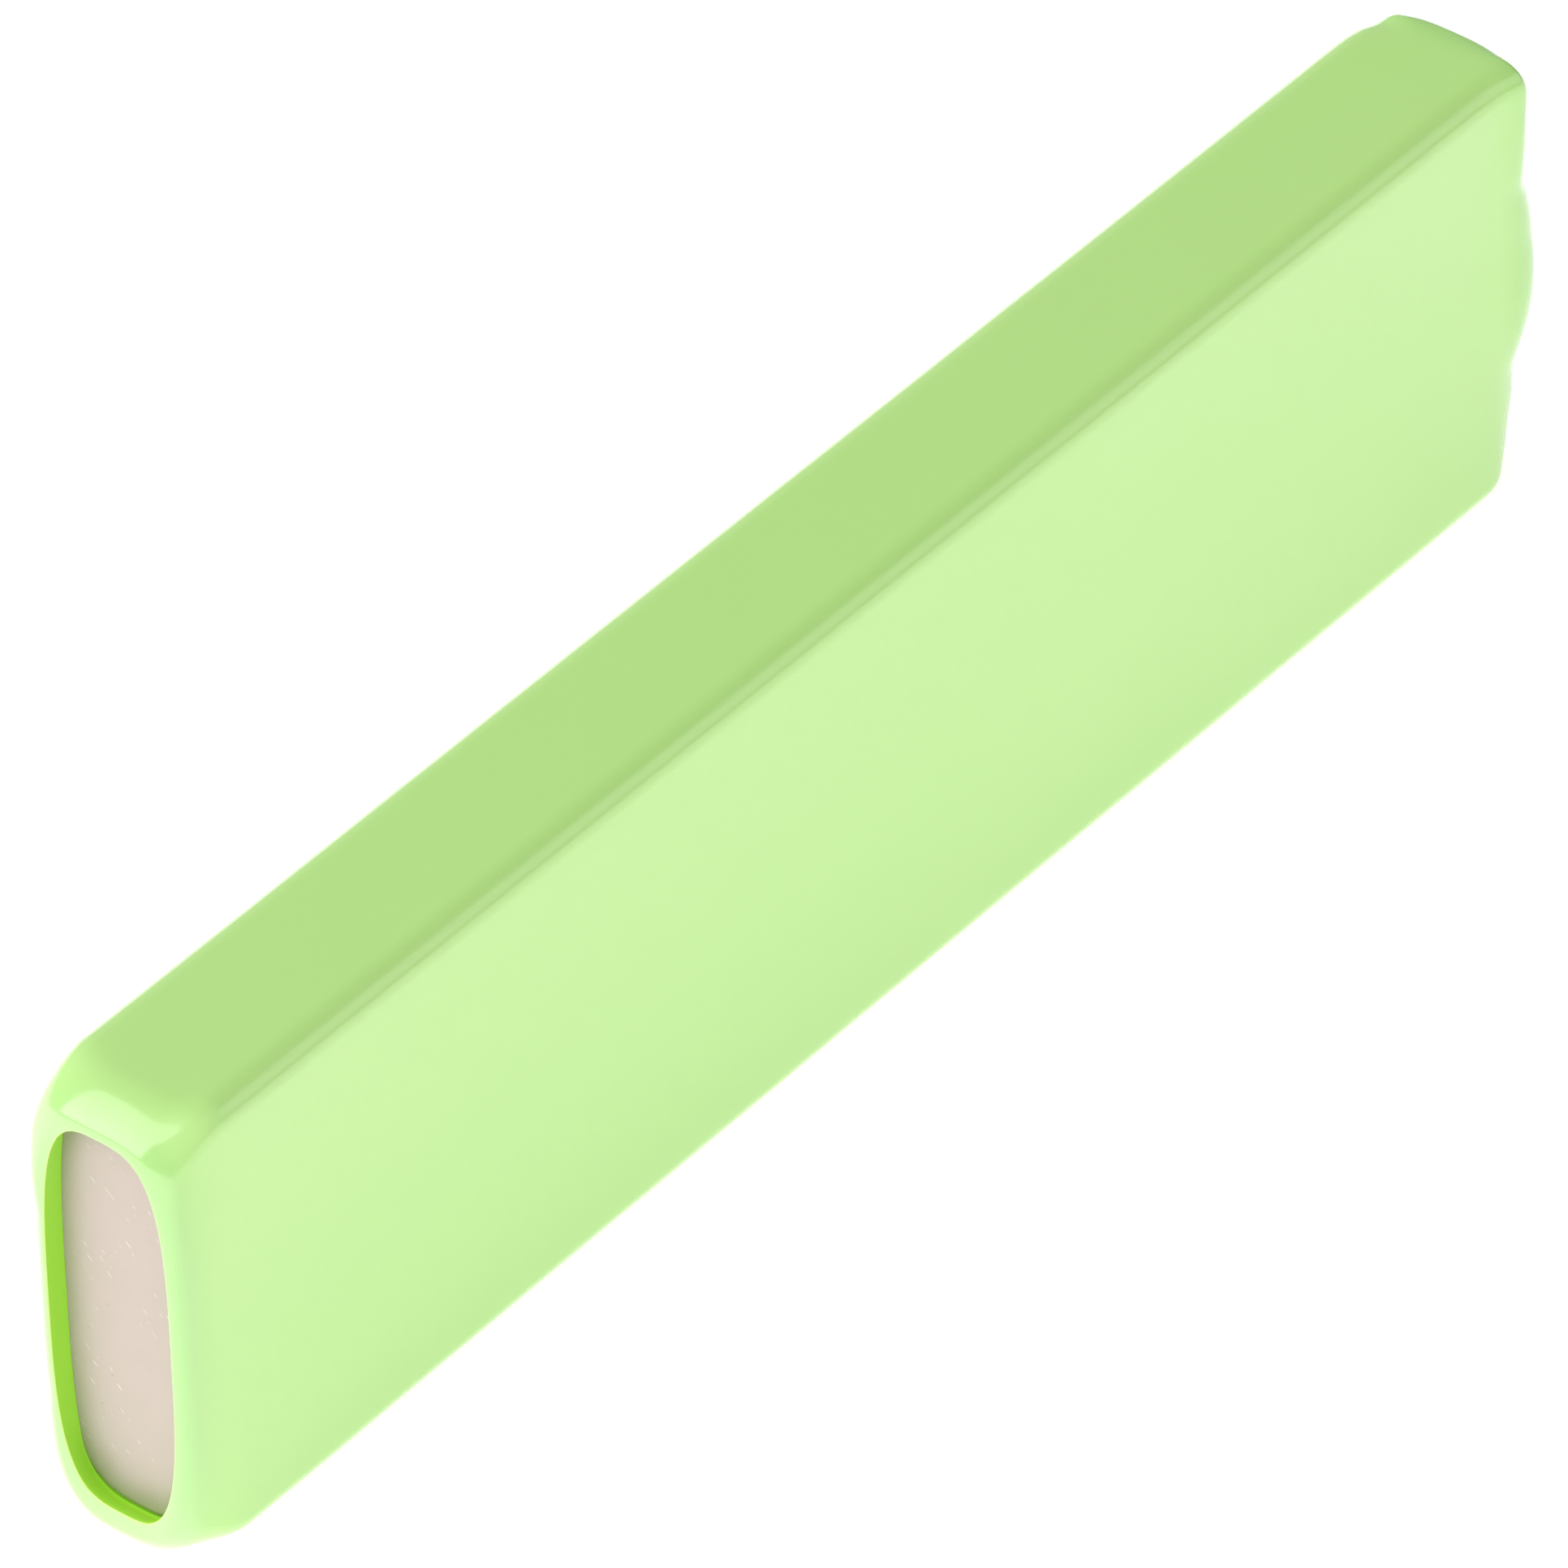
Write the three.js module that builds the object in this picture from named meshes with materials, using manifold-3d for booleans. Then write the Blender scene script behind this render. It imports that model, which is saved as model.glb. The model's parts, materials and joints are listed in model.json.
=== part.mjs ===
// A flat rechargeable cell: an open-ended plastic sleeve over a deep-drawn steel can that holds a
// stack of plates, closed by a cover plate with a riveted terminal and a resealable vent.
//
// Millimetres. X runs along the cell towards the positive contact, Y through its thickness and Z up
// its height. The cell stands on a narrow face, and the origin is under its middle.
import * as THREE from "three";
import { mergeVertices } from "three/addons/utils/BufferGeometryUtils.js";
import Module from "manifold-3d";

const wasm = await Module();
wasm.setup();

// Driving dimensions: the cell as a whole.
const LENGTH = 67.0;
const THICKNESS = 5.88;
const HEIGHT = 16.9;
const CORNER_RADIUS = 0.9;
const FIT = 0.02; // clearance between pieces that sit against each other
const CORNER_STEPS = 3;
const EDGE_STEPS = 3;

// The sleeve and the can. The sleeve's ends fold in over the can as a lip round a window.
const SLEEVE_WALL = 0.2;
const LIP_EDGE = 0.5;
const WINDOW = { halfY: 2.375, halfZ: 7.31, radius: 1.9 };
const NEAR_LIP_X = -LENGTH / 2;
const FAR_LIP_X = 33.35;
const CAN_BOTTOM_X = NEAR_LIP_X + 0.8;
const CAN_WALL = 0.3;
const CAN_BOTTOM = 0.4;
const CAN_EDGE = 0.5;
const CONTACT_PAD_RISE = 0.05; // the can's bottom stands out this far inside the window
const CONTACT_PAD_GAP = 0.1;

// The cover and the terminal, from the outside in.
const CAP_TOP_X = LENGTH / 2;
const CAP_SHEET = 0.2;
const CAP = { halfY: 1.25, halfZ: 2.6, radius: 1.2 };
const CAP_EDGE = 0.15;
const CAP_FLANGE = { halfY: 1.7, halfZ: 3.2, radius: 0.7 };
const CAP_SLOT_WIDTH = 0.8;
const COVER_X = 32.0;
const COVER_THICKNESS = 0.6;
const COVER_HOLE_RADIUS = 1.2;
const WASHER_THICKNESS = 0.3;
const GASKET_THICKNESS = 0.2;
const GASKET = { halfY: 1.95, halfZ: 3.45, radius: 0.9 };
const INNER_GASKET_THICKNESS = 0.25;
const RIVET_HEAD = 0.2;
const RIVET_SHANK_RADIUS = 0.8;
const RIVET_BORE_RADIUS = 0.4;
const RIVET_FOOT = { radius: 1.3, thickness: 0.25 };
const VALVE = { radius: 0.75, thickness: 0.2 };
const CUSHION_RADIUS = 0.7;

// The plate stack and what it is joined to.
const POSITIVE_PLATE = { thickness: 0.7, halfZ: 7.3, x0: -31.3, x1: 28.3 };
const NEGATIVE_PLATE = { thickness: 0.38, halfZ: 7.5, x0: -31.5, x1: 28.6 };
const SEPARATOR = { sheet: 0.14, halfZ: 7.75, x1: 29.1 };
const PLATE_GAP = 0.027;
const LUG = { length: 1.0, halfWidth: 1.4, z: 4.2 };
const NEGATIVE_LUG_HALF_WIDTH = 2.0;
const TAB = { thickness: 0.14, halfWidth: 1.2, spacing: 0.35 };
const TAB_BEND_X = [29.6, 30.55];
const TOP_INSULATOR = { x0: 29.45, thickness: 0.3, slotHalfY: 1.7, slotHalfZ: 1.7 };
const COLLECTOR = { thickness: 0.25, halfY: 1.6, halfZ: 3.85, z: 2.05, radius: 0.5 };
const BOTTOM_STRIP = { thickness: 0.1, halfY: 2.2, halfZ: 2.5 };

const sleeveOuter = { halfY: THICKNESS / 2, halfZ: HEIGHT / 2, radius: CORNER_RADIUS };
const sleeveInner = inset(sleeveOuter, SLEEVE_WALL);
const canOuter = inset(sleeveInner, FIT);
const canInner = inset(canOuter, CAN_WALL);
const coverOutline = inset(canInner, FIT);

const FINISHES = {
  sleeve: { color: 0xccf3a4, roughness: 0.28, metalness: 0 },
  nickel: { color: 0xe3d6c7, roughness: 0.32, metalness: 1 },
  fibre: { color: 0xf1efe8, roughness: 0.8, metalness: 0 },
  nylon: { color: 0xe6e2cf, roughness: 0.5, metalness: 0 },
  rubber: { color: 0x232323, roughness: 0.85, metalness: 0 },
  positive: { color: 0x2e3330, roughness: 0.9, metalness: 0.1 },
  negative: { color: 0x55534f, roughness: 0.8, metalness: 0.4 },
  felt: { color: 0xf4f4f0, roughness: 0.95, metalness: 0 },
};

const AXIAL = new THREE.Matrix4().makeBasis(
  new THREE.Vector3(0, 1, 0),
  new THREE.Vector3(0, 0, 1),
  new THREE.Vector3(1, 0, 0),
);

const group = new THREE.Group();
group.position.z = HEIGHT / 2;

// A rounded outline that lies `by` inside another.
function inset(outline, by) {
  return {
    halfY: outline.halfY - by,
    halfZ: outline.halfZ - by,
    radius: outline.radius - by,
  };
}

// The rounded rectangle in the Y-Z plane that an outline describes.
function rounded({ halfY, halfZ, radius, z = 0 }) {
  const shape = new THREE.Shape();
  const corners = [[1, -1], [1, 1], [-1, 1], [-1, -1]];
  corners.forEach(([sideY, sideZ], quarter) => {
    const centreY = sideY * (halfY - radius);
    const centreZ = z + sideZ * (halfZ - radius);
    const start = ((quarter - 1) * Math.PI) / 2;
    shape.absarc(centreY, centreZ, radius, start, start + Math.PI / 2);
  });
  return shape;
}

// A solid with a rounded outline that runs along X, its end edges rounded to the radius `edge`.
function along(outline, x0, x1, edge = 0) {
  const geometry = new THREE.ExtrudeGeometry(rounded(outline), {
    depth: x1 - x0 - 2 * edge,
    curveSegments: CORNER_STEPS,
    bevelEnabled: edge > 0,
    bevelThickness: edge,
    bevelSize: edge,
    bevelOffset: -edge,
    bevelSegments: EDGE_STEPS,
  });
  return geometry.translate(0, 0, x0 + edge).applyMatrix4(AXIAL);
}

// A round bar along X.
function bar(radius, x0, x1, sides = 24) {
  const geometry = new THREE.CylinderGeometry(radius, radius, x1 - x0, sides);
  return geometry.rotateZ(-Math.PI / 2).translate((x0 + x1) / 2, 0, 0);
}

function box([x0, x1], [y0, y1], [z0, z1]) {
  const geometry = new THREE.BoxGeometry(x1 - x0, y1 - y0, z1 - z0);
  return geometry.translate((x0 + x1) / 2, (y0 + y1) / 2, (z0 + z1) / 2);
}

// A solid with an outline in the X-Y plane, as high as 2 * halfZ about the height z.
function upright(shape, halfZ, z = 0) {
  const options = { depth: 2 * halfZ, bevelEnabled: false, curveSegments: CORNER_STEPS };
  return new THREE.ExtrudeGeometry(shape, options).translate(0, 0, z - halfZ);
}

function solidOf(geometry) {
  geometry.deleteAttribute("normal");
  geometry.deleteAttribute("uv");
  const merged = mergeVertices(geometry, 1e-4);
  const vertProperties = merged.attributes.position.array;
  const triVerts = new Uint32Array(merged.index.array);
  return new wasm.Manifold(new wasm.Mesh({ numProp: 3, vertProperties, triVerts }));
}

function geometryOf(solid) {
  const { vertProperties, triVerts } = solid.getMesh();
  const geometry = new THREE.BufferGeometry();
  geometry.setAttribute("position", new THREE.BufferAttribute(vertProperties, 3));
  geometry.setIndex(new THREE.BufferAttribute(triVerts, 1));
  geometry.computeVertexNormals();
  return geometry;
}

function join(first, ...others) {
  return geometryOf(others.reduce((sum, other) => sum.add(solidOf(other)), solidOf(first)));
}

function cut(first, ...others) {
  return geometryOf(others.reduce((rest, other) => rest.subtract(solidOf(other)), solidOf(first)));
}

function add(name, geometry, finish) {
  const mesh = new THREE.Mesh(geometry, new THREE.MeshStandardMaterial(FINISHES[finish]));
  mesh.name = name;
  group.add(mesh);
}

// The sleeve: a thin tube whose ends thicken into a lip, each lip open in a tall oval window.
function buildSleeve() {
  const cavityStart = CAN_BOTTOM_X + CONTACT_PAD_RISE - FIT;
  const cavityEnd = COVER_X + WASHER_THICKNESS + 2 * FIT;
  add(
    "sleeve",
    cut(
      along(sleeveOuter, NEAR_LIP_X, FAR_LIP_X, LIP_EDGE),
      along(sleeveInner, cavityStart, cavityEnd),
      along(WINDOW, NEAR_LIP_X - 1, CAN_BOTTOM_X + CAN_BOTTOM),
      along(WINDOW, COVER_X, FAR_LIP_X + 1),
    ),
    "sleeve",
  );
}

// The can is closed at its negative end, with a rounded bottom edge and a flat contact pad, and open
// where the cover sits.
function buildCan() {
  const pastMouth = COVER_X + 2;
  const pad = along(inset(WINDOW, CONTACT_PAD_GAP), CAN_BOTTOM_X, CAN_BOTTOM_X + CAN_BOTTOM);
  add(
    "can",
    cut(
      join(along(canOuter, CAN_BOTTOM_X + CONTACT_PAD_RISE, pastMouth, CAN_EDGE), pad),
      along(canInner, CAN_BOTTOM_X + CAN_BOTTOM, pastMouth + 1),
      box([COVER_X, pastMouth + 1], [-THICKNESS, THICKNESS], [-HEIGHT, HEIGHT]),
    ),
    "nickel",
  );
}

// The cover plate, its two gaskets, the hollow rivet and the collector plate that it clamps.
function buildTerminal() {
  const coverInner = COVER_X - COVER_THICKNESS;
  const gasketTop = COVER_X + GASKET_THICKNESS;
  const innerGasketX = coverInner - FIT - INNER_GASKET_THICKNESS;
  const collectorX = innerGasketX - FIT - COLLECTOR.thickness;
  const footX = collectorX - FIT - RIVET_FOOT.thickness;
  const headTop = gasketTop + RIVET_HEAD;
  const shankHole = RIVET_SHANK_RADIUS + FIT;

  add(
    "cover_plate",
    cut(along(coverOutline, coverInner, COVER_X), bar(COVER_HOLE_RADIUS, coverInner - 1, COVER_X + 1)),
    "nickel",
  );
  add(
    "outer_gasket",
    cut(
      join(
        along(GASKET, COVER_X + FIT, gasketTop - FIT),
        bar(COVER_HOLE_RADIUS - FIT, coverInner, gasketTop - FIT),
      ),
      bar(shankHole, coverInner - 1, gasketTop + 1),
    ),
    "nylon",
  );
  add(
    "inner_gasket",
    cut(
      along(inset(coverOutline, 0.1), innerGasketX, coverInner - FIT),
      bar(shankHole, innerGasketX - 1, coverInner + 1),
    ),
    "nylon",
  );
  add(
    "collector_plate",
    cut(
      along(COLLECTOR, collectorX, innerGasketX - FIT),
      bar(shankHole, collectorX - 1, innerGasketX + 1),
    ),
    "nickel",
  );
  add(
    "terminal_rivet",
    cut(
      join(
        along(CAP_FLANGE, gasketTop, headTop),
        bar(RIVET_SHANK_RADIUS, footX, headTop),
        bar(RIVET_FOOT.radius, footX, footX + RIVET_FOOT.thickness),
      ),
      bar(RIVET_BORE_RADIUS, footX - 1, headTop + 1),
    ),
    "nickel",
  );
  return { headTop, collectorX };
}

// The vent: a disc over the rivet's bore, held down by a rubber cushion under the positive cap.
function buildVent(headTop) {
  const valveTop = headTop + FIT + VALVE.thickness;
  const capInner = CAP_TOP_X - CAP_SHEET;
  const flangeX = headTop + FIT;
  const slotTop = capInner - 0.2;
  add("vent_valve", bar(VALVE.radius, headTop + FIT, valveTop), "rubber");
  add("vent_cushion", bar(CUSHION_RADIUS, valveTop + FIT, capInner - FIT), "rubber");
  add(
    "positive_cap",
    cut(
      join(
        along(CAP, flangeX, CAP_TOP_X, CAP_EDGE),
        along(CAP_FLANGE, flangeX, flangeX + CAP_SHEET),
      ),
      along(inset(CAP, CAP_SHEET), flangeX - 1, capInner),
      box(
        [flangeX + CAP_SHEET, slotTop],
        [-CAP_SLOT_WIDTH / 2, CAP_SLOT_WIDTH / 2],
        [-CAP.halfZ - 1, CAP.halfZ + 1],
      ),
    ),
    "nickel",
  );
}

// The insulating washer between the cover plate and the sleeve's lip.
function buildWasher() {
  const x0 = COVER_X + FIT;
  add(
    "end_washer",
    cut(
      along(canOuter, x0, x0 + WASHER_THICKNESS),
      along(inset(GASKET, -0.1), x0 - 1, x0 + WASHER_THICKNESS + 1),
    ),
    "fibre",
  );
}

// Three positive plates in folded pockets, between four negative plates.
function buildPlates() {
  const pocketInner = POSITIVE_PLATE.thickness / 2 + PLATE_GAP;
  const pocketOuter = pocketInner + SEPARATOR.sheet;
  const pitch = 2 * (pocketOuter + PLATE_GAP) + NEGATIVE_PLATE.thickness;

  for (const [index, place] of [-1, 0, 1].entries()) {
    const y = place * pitch;
    const half = POSITIVE_PLATE.thickness / 2;
    const { x0, x1, halfZ } = POSITIVE_PLATE;
    add(
      `positive_plate_${index + 1}`,
      join(
        box([x0, x1], [y - half, y + half], [-halfZ, halfZ]),
        box(
          [x1 - 1, x1 + LUG.length],
          [y - half, y + half],
          [LUG.z - LUG.halfWidth, LUG.z + LUG.halfWidth],
        ),
      ),
      "positive",
    );

    const pocket = new THREE.Shape();
    pocket.moveTo(SEPARATOR.x1, y + pocketOuter);
    pocket.lineTo(x0, y + pocketOuter);
    pocket.absarc(x0, y, pocketOuter, Math.PI / 2, (3 * Math.PI) / 2);
    pocket.lineTo(SEPARATOR.x1, y - pocketOuter);
    pocket.lineTo(SEPARATOR.x1, y - pocketInner);
    pocket.lineTo(x0, y - pocketInner);
    pocket.absarc(x0, y, pocketInner, (3 * Math.PI) / 2, Math.PI / 2, true);
    pocket.lineTo(SEPARATOR.x1, y + pocketInner);
    add(`separator_${index + 1}`, upright(pocket, SEPARATOR.halfZ), "felt");
  }

  const stripTop = CAN_BOTTOM_X + CAN_BOTTOM + FIT + BOTTOM_STRIP.thickness;
  for (const [index, place] of [-1.5, -0.5, 0.5, 1.5].entries()) {
    const y = place * pitch;
    const half = NEGATIVE_PLATE.thickness / 2;
    const { x0, x1, halfZ } = NEGATIVE_PLATE;
    add(
      `negative_plate_${index + 1}`,
      join(
        box([x0, x1], [y - half, y + half], [-halfZ, halfZ]),
        box(
          [stripTop + FIT, x0 + 1],
          [y - half, y + half],
          [-NEGATIVE_LUG_HALF_WIDTH, NEGATIVE_LUG_HALF_WIDTH],
        ),
      ),
      "negative",
    );
  }
  add(
    "negative_collector",
    box(
      [stripTop - BOTTOM_STRIP.thickness, stripTop],
      [-BOTTOM_STRIP.halfY, BOTTOM_STRIP.halfY],
      [-BOTTOM_STRIP.halfZ, BOTTOM_STRIP.halfZ],
    ),
    "nickel",
  );
  return pitch;
}

// Ribbons that lead from the positive plates' lugs through the insulator to the collector plate.
function buildTabs(pitch, collectorX) {
  const lugEnd = POSITIVE_PLATE.x1 + LUG.length;
  for (const [index, place] of [-1, 0, 1].entries()) {
    const route = [
      [lugEnd + FIT, place * pitch],
      [TAB_BEND_X[0], place * pitch],
      [TAB_BEND_X[1], place * TAB.spacing],
      [collectorX - FIT, place * TAB.spacing],
    ];
    const half = TAB.thickness / 2;
    const outline = [
      ...route.map(([x, y]) => new THREE.Vector2(x, y - half)),
      ...route.reverse().map(([x, y]) => new THREE.Vector2(x, y + half)),
    ];
    const ribbon = upright(new THREE.Shape(outline), TAB.halfWidth, LUG.z);
    add(`positive_tab_${index + 1}`, ribbon, "nickel");
  }

  const { x0, thickness, slotHalfY, slotHalfZ } = TOP_INSULATOR;
  add(
    "top_insulator",
    cut(
      along(coverOutline, x0, x0 + thickness),
      box(
        [x0 - 1, x0 + thickness + 1],
        [-slotHalfY, slotHalfY],
        [LUG.z - slotHalfZ, LUG.z + slotHalfZ],
      ),
    ),
    "nylon",
  );
}

buildSleeve();
buildCan();
const { headTop, collectorX } = buildTerminal();
buildVent(headTop);
buildWasher();
const pitch = buildPlates();
buildTabs(pitch, collectorX);

export default group;
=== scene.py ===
import json
import logging
import math
from dataclasses import dataclass, field
from enum import Enum
from typing import Any, Sequence

import bpy
from mathutils import Matrix, Vector


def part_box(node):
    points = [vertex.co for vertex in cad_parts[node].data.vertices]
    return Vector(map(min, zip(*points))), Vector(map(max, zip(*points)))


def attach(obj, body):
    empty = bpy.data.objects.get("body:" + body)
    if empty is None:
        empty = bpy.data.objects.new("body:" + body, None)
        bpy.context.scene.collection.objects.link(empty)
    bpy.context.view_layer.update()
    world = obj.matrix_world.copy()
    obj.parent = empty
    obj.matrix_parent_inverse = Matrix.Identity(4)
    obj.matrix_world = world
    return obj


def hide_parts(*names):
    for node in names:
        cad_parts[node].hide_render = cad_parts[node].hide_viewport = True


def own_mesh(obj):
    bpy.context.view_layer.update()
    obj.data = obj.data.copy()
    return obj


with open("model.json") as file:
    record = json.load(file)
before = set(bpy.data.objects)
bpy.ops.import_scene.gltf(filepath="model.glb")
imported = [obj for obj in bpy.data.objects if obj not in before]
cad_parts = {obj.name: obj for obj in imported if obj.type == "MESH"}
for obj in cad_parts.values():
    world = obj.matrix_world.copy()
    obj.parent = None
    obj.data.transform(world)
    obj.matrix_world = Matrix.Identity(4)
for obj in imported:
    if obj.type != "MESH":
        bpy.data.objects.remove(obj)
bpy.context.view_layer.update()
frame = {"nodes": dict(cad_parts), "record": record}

MM = 0.001
CELL = "cell"
VENT = "vent"
SHARPEST = 0.02
LIP_FOLD = 0.46
WALL_FOLD = 0.6
BLACK = (0.0, 0.0, 0.0)
WHITE = (1.0, 1.0, 1.0)
log = logging.getLogger("flat_cell")

Colour = tuple[float, float, float]
Triple = tuple[float, float, float]


def add_object(name: str, data: Any) -> bpy.types.Object:
    """Put a new object in the scene.

    Args:
        name: The object's name.
        data: Its mesh, light or camera.

    Returns:
        The object, at the origin.
    """
    added = bpy.data.objects.new(name, data)
    bpy.context.scene.collection.objects.link(added)
    return added


def flatten(piece: bpy.types.Object) -> None:
    """Turn what an object's modifiers make into its plain mesh.

    Args:
        piece: The object, which keeps no modifier.
    """
    shape = piece.evaluated_get(bpy.context.evaluated_depsgraph_get())
    mesh = bpy.data.meshes.new_from_object(shape)
    piece.modifiers.clear()
    piece.data = mesh


# ---- Node trees as expressions ----


class Graph:
    """A node tree that is filled by expressions and by one general node method."""

    def __init__(self, tree: bpy.types.NodeTree) -> None:
        """Wrap a tree.

        Args:
            tree: The shader or geometry tree to fill.
        """
        self.tree = tree

    def node(self, kind: str, settings: dict[str, Any] | None = None,
             sockets: dict[str | int, Any] | None = None) -> bpy.types.Node:
        """Add one node.

        Args:
            kind: The node's type name.
            settings: Properties of the node, and "stops" for a colour ramp's positions and colours.
            sockets: Values or links for the inputs, by identifier, name or number.

        Returns:
            The new node.
        """
        node = self.tree.nodes.new(kind)
        for key, value in (settings or {}).items():
            if key == "stops":
                self._set_stops(node.color_ramp, value)
            else:
                setattr(node, key, value)
        for key, value in (sockets or {}).items():
            self.feed(find_socket(node.inputs, key), value)
        return node

    def feed(self, socket: bpy.types.NodeSocket, value: Any) -> None:
        """Link a value to an input, or set the input when the value is a plain one.

        Args:
            socket: The input.
            value: A wrapped value, a node's output or a plain value.
        """
        source = value.socket if isinstance(value, Value) else value
        if isinstance(source, bpy.types.NodeSocket):
            self.tree.links.new(source, socket)
        else:
            socket.default_value = source

    @staticmethod
    def _set_stops(ramp: bpy.types.ColorRamp, stops: Sequence[tuple[float, Colour]]) -> None:
        """Give a colour ramp its stops.

        Args:
            ramp: The ramp.
            stops: Each stop's position and colour.
        """
        while len(ramp.elements) < len(stops):
            ramp.elements.new(1.0)
        for element, (position, colour) in zip(ramp.elements, stops):
            element.position = position
            element.color = (*colour, 1.0)

    def value(self, kind: str, settings: dict[str, Any] | None = None,
              sockets: dict[str | int, Any] | None = None, output: str | int = 0) -> "Value":
        """Add a node and wrap one of its outputs.

        Args:
            kind: The node's type name.
            settings: Properties of the node.
            sockets: Values or links for the inputs.
            output: The output to wrap, by identifier, name or number.

        Returns:
            The wrapped output.
        """
        node = self.node(kind, settings, sockets)
        return Value(self, find_socket(node.outputs, output))

    def vector(self, x: Any, y: Any, z: Any) -> "Value":
        """Join three numbers into a vector."""
        return self.value("ShaderNodeCombineXYZ", None, {"X": x, "Y": y, "Z": z})

    def split(self, vector: Any) -> tuple["Value", "Value", "Value"]:
        """Take a vector apart into its three numbers."""
        node = self.node("ShaderNodeSeparateXYZ", None, {"Vector": vector})
        return tuple(Value(self, node.outputs[axis]) for axis in "XYZ")

    def blend(self, factor: Any, first: Any, second: Any, mode: str = "MIX") -> "Value":
        """Mix two colours.

        Args:
            factor: How much of the second colour.
            first: The colour at factor 0.
            second: The colour at factor 1.
            mode: The blend mode.

        Returns:
            The mixed colour.
        """
        colours = {"A_Color": rgba(first), "B_Color": rgba(second), "Factor_Float": factor}
        return self.value("ShaderNodeMix", {"data_type": "RGBA", "blend_type": mode}, colours,
                          "Result_Color")


def find_socket(sockets: Any, key: str | int) -> bpy.types.NodeSocket:
    """Find a socket by number, identifier or name.

    Args:
        sockets: A node's inputs or outputs.
        key: The number, identifier or name.

    Returns:
        The socket.
    """
    if isinstance(key, int):
        return sockets[key]
    return next((s for s in sockets if s.identifier == key), None) or sockets[key]


def rgba(colour: Any) -> Any:
    """Give a plain colour its alpha, and pass anything else on."""
    return (*colour, 1.0) if isinstance(colour, tuple) and len(colour) == 3 else colour


@dataclass(frozen=True)
class Value:
    """A number, vector or colour that varies over a surface: one output socket of a tree."""

    graph: Graph
    socket: bpy.types.NodeSocket

    def _math(self, operation: str, *others: Any, clamp: bool = False) -> "Value":
        """Add a Math node.

        Args:
            operation: The node's operation.
            others: The operands, in order, where `self` stands for this value.
            clamp: Whether the result is kept between 0 and 1.

        Returns:
            The node's result.
        """
        settings = {"operation": operation, "use_clamp": clamp}
        return self.graph.value("ShaderNodeMath", settings, dict(enumerate(others)))

    def __add__(self, other: Any) -> "Value":
        """self + other"""
        return self._math("ADD", self, other)

    def __radd__(self, other: Any) -> "Value":
        """other + self"""
        return self._math("ADD", other, self)

    def __sub__(self, other: Any) -> "Value":
        """self - other"""
        return self._math("SUBTRACT", self, other)

    def __rsub__(self, other: Any) -> "Value":
        """other - self"""
        return self._math("SUBTRACT", other, self)

    def __mul__(self, other: Any) -> "Value":
        """self * other"""
        return self._math("MULTIPLY", self, other)

    def __rmul__(self, other: Any) -> "Value":
        """other * self"""
        return self._math("MULTIPLY", other, self)

    def __truediv__(self, other: Any) -> "Value":
        """self / other"""
        return self._math("DIVIDE", self, other)

    def __rtruediv__(self, other: Any) -> "Value":
        """other / self"""
        return self._math("DIVIDE", other, self)

    def __pow__(self, other: Any) -> "Value":
        """self ** other"""
        return self._math("POWER", self, other)

    def __neg__(self) -> "Value":
        """-self"""
        return self._math("MULTIPLY", self, -1.0)

    def __abs__(self) -> "Value":
        """abs(self)"""
        return self._math("ABSOLUTE", self)

    def clamped(self) -> "Value":
        """Keep the value between 0 and 1."""
        return self._math("ADD", self, 0.0, clamp=True)

    def floor(self) -> "Value":
        """Round down."""
        return self._math("FLOOR", self)

    def sin(self) -> "Value":
        """Sine of the value in radians."""
        return self._math("SINE", self)

    def cos(self) -> "Value":
        """Cosine of the value in radians."""
        return self._math("COSINE", self)

    def exp(self) -> "Value":
        """e to the power of the value."""
        return self._math("EXPONENT", self)

    def at_least(self, low: float) -> "Value":
        """Keep the value from falling under a limit."""
        return self._math("MAXIMUM", self, low)

    def above(self, limit: float) -> "Value":
        """1 where the value is above a limit, and 0 elsewhere."""
        return self._math("GREATER_THAN", self, limit)

    def ramp(self, low: float, high: float) -> "Value":
        """Rise smoothly from 0 at one value to 1 at another.

        Args:
            low: Where the rise starts.
            high: Where it ends.

        Returns:
            The eased value, between 0 and 1.
        """
        sockets = {"Value": self, "From Min": low, "From Max": high}
        return self.graph.value("ShaderNodeMapRange", {"interpolation_type": "SMOOTHSTEP"}, sockets)


# ---- Finishes ----


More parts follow.
